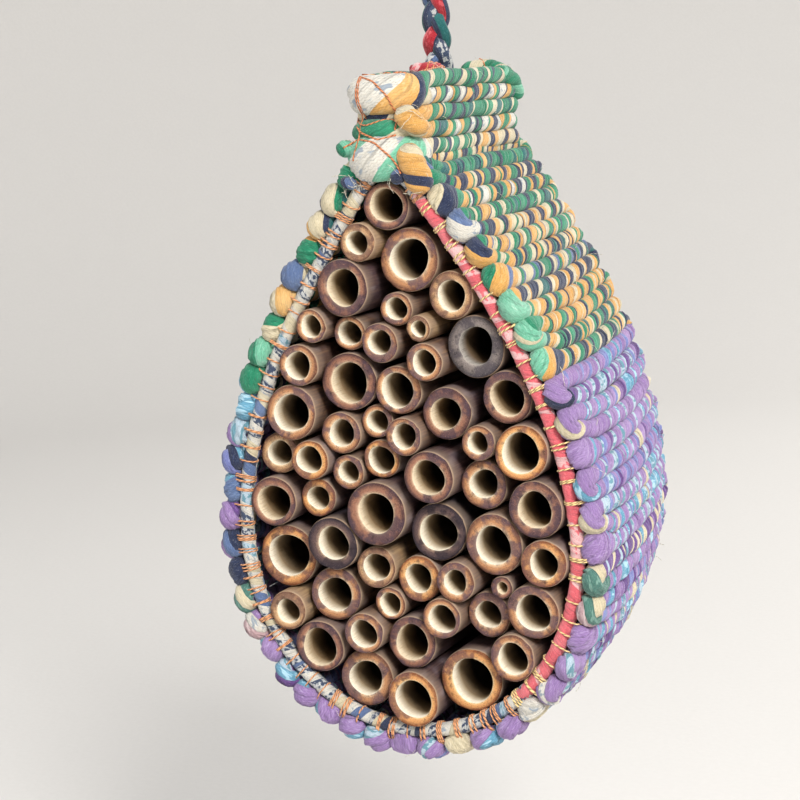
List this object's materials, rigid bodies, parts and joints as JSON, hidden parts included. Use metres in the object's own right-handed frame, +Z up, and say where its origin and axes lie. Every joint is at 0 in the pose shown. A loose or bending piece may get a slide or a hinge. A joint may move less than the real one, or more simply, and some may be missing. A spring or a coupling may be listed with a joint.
{
  "type": "insect hotel",
  "caption": "Teardrop insect hotel: bamboo canes packed in a basket of wound fabric rope, swinging on a braided hanger with an eye.",
  "frame": {"origin": "where a hook carries the eye of the hanger, on the inside of the eye's top", "axes": "+Z up; the canes open towards -Y; +X to the right seen from the open face"},
  "size_m": [0.1374, 0.0977, 0.3258],
  "materials": {
    "bamboo": "sawn cane, tan cut face, dark mottled bark, matte",
    "upper_rope": "twisted cotton strips in emerald, mint, mustard, cream and navy",
    "lower_rope": "twisted cotton strips in lilac, pale blue, cream and teal",
    "pink_wrap": "cotton strip in coral pink and navy, bound with thread",
    "navy_wrap": "cotton strip in navy and pale grey, bound with thread",
    "backing": "stiff dark cotton backing, matte",
    "cord": "braided cotton strips in teal, purple, coral and slate blue"
  },
  "bodies": {
    "hanger": {"hanging_cord": "cord"},
    "hotel": {"bamboo_cane_01": "bamboo", "bamboo_cane_02": "bamboo", "bamboo_cane_03": "bamboo", "bamboo_cane_04": "bamboo", "bamboo_cane_05": "bamboo", "bamboo_cane_06": "bamboo", "bamboo_cane_07": "bamboo", "bamboo_cane_08": "bamboo", "bamboo_cane_09": "bamboo", "bamboo_cane_10": "bamboo", "bamboo_cane_11": "bamboo", "bamboo_cane_12": "bamboo", "bamboo_cane_13": "bamboo", "bamboo_cane_14": "bamboo", "bamboo_cane_15": "bamboo", "bamboo_cane_16": "bamboo", "bamboo_cane_17": "bamboo", "bamboo_cane_18": "bamboo", "bamboo_cane_19": "bamboo", "bamboo_cane_20": "bamboo", "bamboo_cane_21": "bamboo", "bamboo_cane_22": "bamboo", "bamboo_cane_23": "bamboo", "bamboo_cane_24": "bamboo", "bamboo_cane_25": "bamboo", "bamboo_cane_26": "bamboo", "bamboo_cane_27": "bamboo", "bamboo_cane_28": "bamboo", "bamboo_cane_29": "bamboo", "bamboo_cane_30": "bamboo", "bamboo_cane_31": "bamboo", "bamboo_cane_32": "bamboo", "bamboo_cane_33": "bamboo", "bamboo_cane_34": "bamboo", "bamboo_cane_35": "bamboo", "bamboo_cane_36": "bamboo", "bamboo_cane_37": "bamboo", "bamboo_cane_38": "bamboo", "bamboo_cane_39": "bamboo", "bamboo_cane_40": "bamboo", "bamboo_cane_41": "bamboo", "bamboo_cane_42": "bamboo", "bamboo_cane_43": "bamboo", "bamboo_cane_44": "bamboo", "bamboo_cane_45": "bamboo", "bamboo_cane_46": "bamboo", "bamboo_cane_47": "bamboo", "bamboo_cane_48": "bamboo", "bamboo_cane_49": "bamboo", "bamboo_cane_50": "bamboo", "bamboo_cane_51": "bamboo", "bamboo_cane_52": "bamboo", "bamboo_cane_53": "bamboo", "bamboo_cane_54": "bamboo", "front_hoop": "pink_wrap", "back_hoop": "navy_wrap", "upper_rope_winding": "upper_rope", "lower_rope_winding": "lower_rope", "back_panel": "backing"}
  },
  "joints": [
    {"name": "swing", "type": "hinge", "parent": "hanger", "child": "hotel", "pos_m": [0, 0, -0.093], "axis": [0, 1, 0], "range_deg": [-25, 25]}
  ]
}
